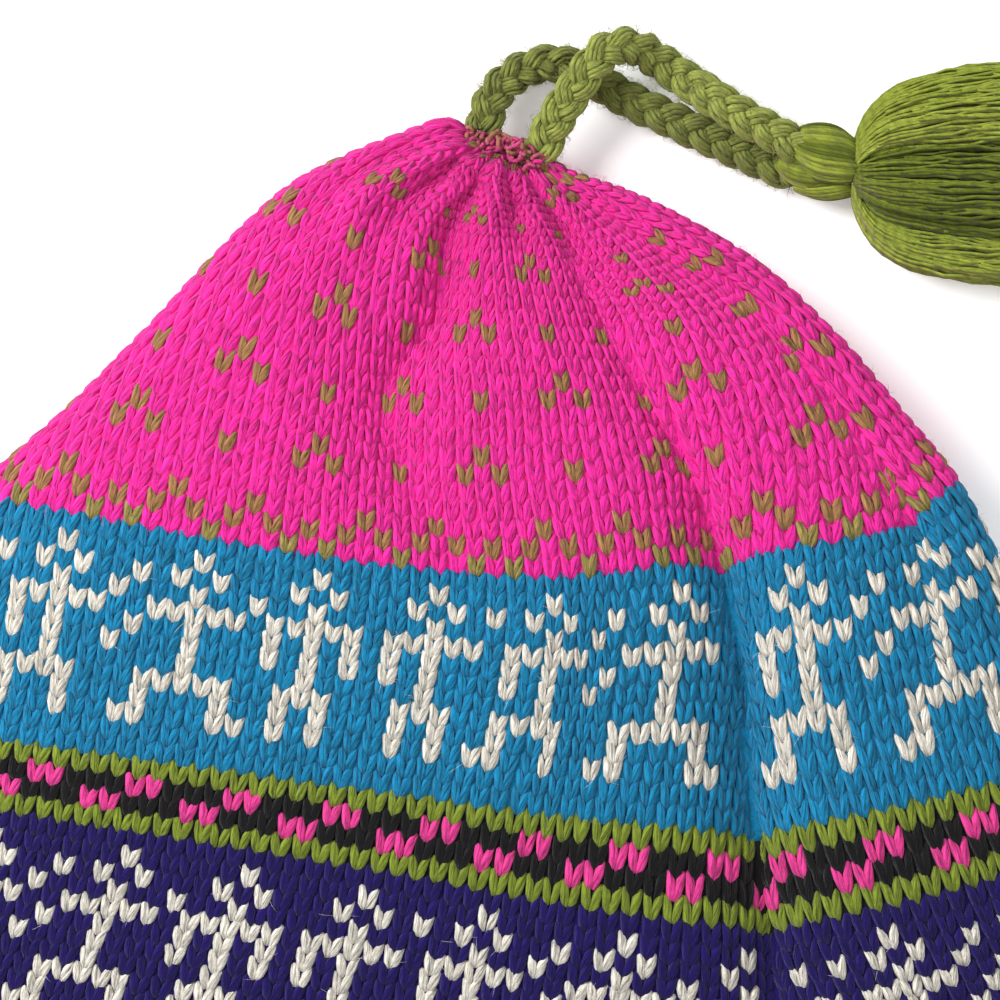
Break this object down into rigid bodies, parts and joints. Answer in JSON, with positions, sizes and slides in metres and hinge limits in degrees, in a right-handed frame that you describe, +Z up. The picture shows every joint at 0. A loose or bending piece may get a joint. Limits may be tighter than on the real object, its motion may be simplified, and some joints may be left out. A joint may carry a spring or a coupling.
{
  "type": "chullo hat",
  "caption": "Knitted pointed cap lying on its back, with figured bands above its rim and plaited cords from its gathered top to a tassel; it warms the head.",
  "frame": {"origin": "middle of the cap's plan, without its cords and tassel, on the surface that it lies on", "axes": "+Z up from the surface, +Y towards the gathered top, +X to the right as the cap is seen from above"},
  "size_m": [0.2847, 0.239, 0.0433],
  "materials": {
    "pink_knit": "matte",
    "blue_knit": "matte",
    "stripe_knit": "matte",
    "purple_knit": "matte",
    "cord_yarn": "matte",
    "tassel_yarn": "matte"
  },
  "bodies": {
    "root": {"crown": "pink_knit", "blue_figure_band": "blue_knit", "stripe_band": "stripe_knit", "purple_figure_band": "purple_knit", "hem": "purple_knit", "cord_left": "cord_yarn", "cord_right": "cord_yarn", "tassel": "tassel_yarn"}
  },
  "joints": []
}
